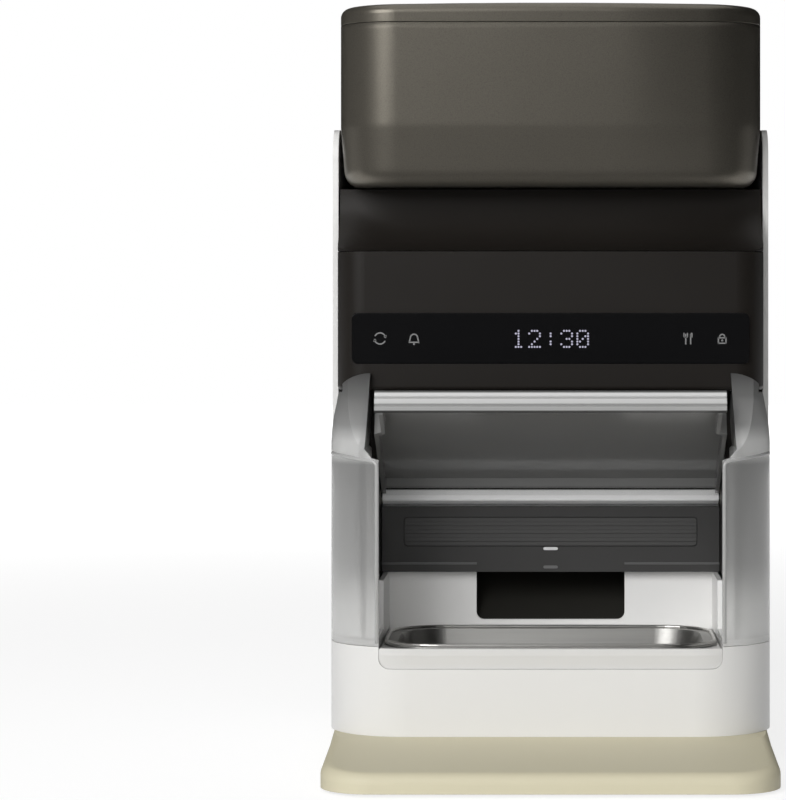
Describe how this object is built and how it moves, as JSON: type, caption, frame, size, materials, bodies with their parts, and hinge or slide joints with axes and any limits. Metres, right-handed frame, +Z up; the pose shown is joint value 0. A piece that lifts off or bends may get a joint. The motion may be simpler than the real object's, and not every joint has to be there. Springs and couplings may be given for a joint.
{
  "type": "microchip pet feeder",
  "caption": "Counter-top pet feeder with a lift-off hopper, metering wheel, chute, steel bowl, and a motor-driven clear lid between two side guards over a paw tray.",
  "frame": {"origin": "on the floor, under the middle of the footprint, paw tray included", "axes": "+Z up; -Y is the front, where the bowl is; +X is to the right seen from the front"},
  "size_m": [0.216, 0.29, 0.373],
  "materials": {
    "cream_plastic": "fine matt",
    "black_rubber": "matt",
    "zinc_steel": "zinc plated",
    "grey_plastic": "matt",
    "white_plastic": "satin",
    "smoke_clear": "clear, lightly smoked",
    "stainless": "satin brushed",
    "dark_gloss": "gloss",
    "copper_coil": "enamelled wire",
    "dark_plastic": "satin",
    "natural_nylon": "natural",
    "tinted_clear": "clear, dark tint",
    "pale_clear": "gloss",
    "bright_steel": "ground",
    "brass": "machined",
    "motor_steel": "plated can",
    "display_black": "polished",
    "digit_light": "lit",
    "pale_print": "printed",
    "circuit_board": "solder mask",
    "soft_vane": "soft silicone",
    "black_plastic": "matt",
    "hopper_plastic": "satin metallic grey-brown",
    "silicone": "soft"
  },
  "bodies": {
    "housing": {"foot_tray": "cream_plastic", "rubber_feet": "black_rubber", "tray_screws": "zinc_steel", "rear_screws": "zinc_steel", "base_pan": "grey_plastic", "body_shell": "white_plastic", "rear_cover": "white_plastic", "bay_liner": "white_plastic", "bowl_cradle": "white_plastic", "guard_right": "smoke_clear", "guard_left": "smoke_clear", "sensor_bar": "dark_gloss", "sensor_window": "dark_gloss", "rfid_antenna": "copper_coil", "lid_frame": "dark_plastic", "hinge_bushes": "natural_nylon", "lid_motor": "motor_steel", "front_fascia": "dark_plastic", "neck_cover": "dark_plastic", "display_window": "display_black", "display_board": "circuit_board", "dispenser_housing": "dark_plastic", "drum_base": "dark_plastic", "drum_bush": "natural_nylon", "gearbox_cover": "grey_plastic", "dispenser_motor": "motor_steel", "chute": "black_plastic", "battery_box": "grey_plastic", "battery_contacts": "bright_steel", "power_inlet": "bright_steel", "main_board": "circuit_board"},
    "bowl_lid": {"bowl_lid": "tinted_clear", "lid_front_rail": "pale_clear", "lid_rear_rail": "pale_clear", "lid_hinge_pins": "bright_steel", "lid_gear": "natural_nylon"},
    "lid_drive": {"lid_pinion": "brass"},
    "metering_wheel": {"rotor": "soft_vane", "rotor_shaft": "bright_steel", "stirrer": "soft_vane", "rotor_gear": "natural_nylon"},
    "dispenser_drive": {"rotor_pinion": "brass"},
    "hopper": {"hopper_tank": "hopper_plastic", "hopper_funnel": "hopper_plastic"},
    "hopper_lid": {"hopper_lid": "hopper_plastic", "hopper_seal": "silicone", "desiccant_box": "grey_plastic", "desiccant_cover": "grey_plastic"},
    "bowl": {"bowl": "stainless"},
    "battery_door": {"battery_cover": "white_plastic"}
  },
  "joints": [
    {"name": "bowl_lid_hinge", "type": "hinge", "parent": "housing", "child": "bowl_lid", "pos_m": [0, 0.015, 0.1275], "axis": [-1, 0, 0], "range_deg": [-58.2, 0]},
    {"name": "lid_drive_spin", "type": "hinge", "parent": "housing", "child": "lid_drive", "pos_m": [0.09, 0.039, 0.1275], "axis": [-1, 0, 0], "range_deg": [0, 175]},
    {"name": "metering_spin", "type": "hinge", "parent": "housing", "child": "metering_wheel", "pos_m": [0, 0.078, 0.25], "axis": [0, 0, 1], "continuous": true},
    {"name": "dispenser_drive_spin", "type": "hinge", "parent": "housing", "child": "dispenser_drive", "pos_m": [0, 0.0972, 0.228], "axis": [0, 0, 1], "continuous": true},
    {"name": "hopper_lift", "type": "slide", "parent": "housing", "child": "hopper", "axis": [0, 0, 1], "range_m": [0, 0.06]},
    {"name": "hopper_lid_lift", "type": "slide", "parent": "hopper", "child": "hopper_lid", "axis": [0, 0, 1], "range_m": [0, 0.04]},
    {"name": "bowl_lift", "type": "slide", "parent": "housing", "child": "bowl", "axis": [0, 0, 1], "range_m": [0, 0.05]},
    {"name": "battery_door_hinge", "type": "hinge", "parent": "housing", "child": "battery_door", "pos_m": [0, 0.1436, 0.062], "axis": [-1, 0, 0], "range_deg": [0, 80]}
  ],
  "couplings": [
    {"joint": "lid_drive_spin", "follows": "bowl_lid_hinge", "ratio": -3},
    {"joint": "dispenser_drive_spin", "follows": "metering_spin", "ratio": -3}
  ]
}
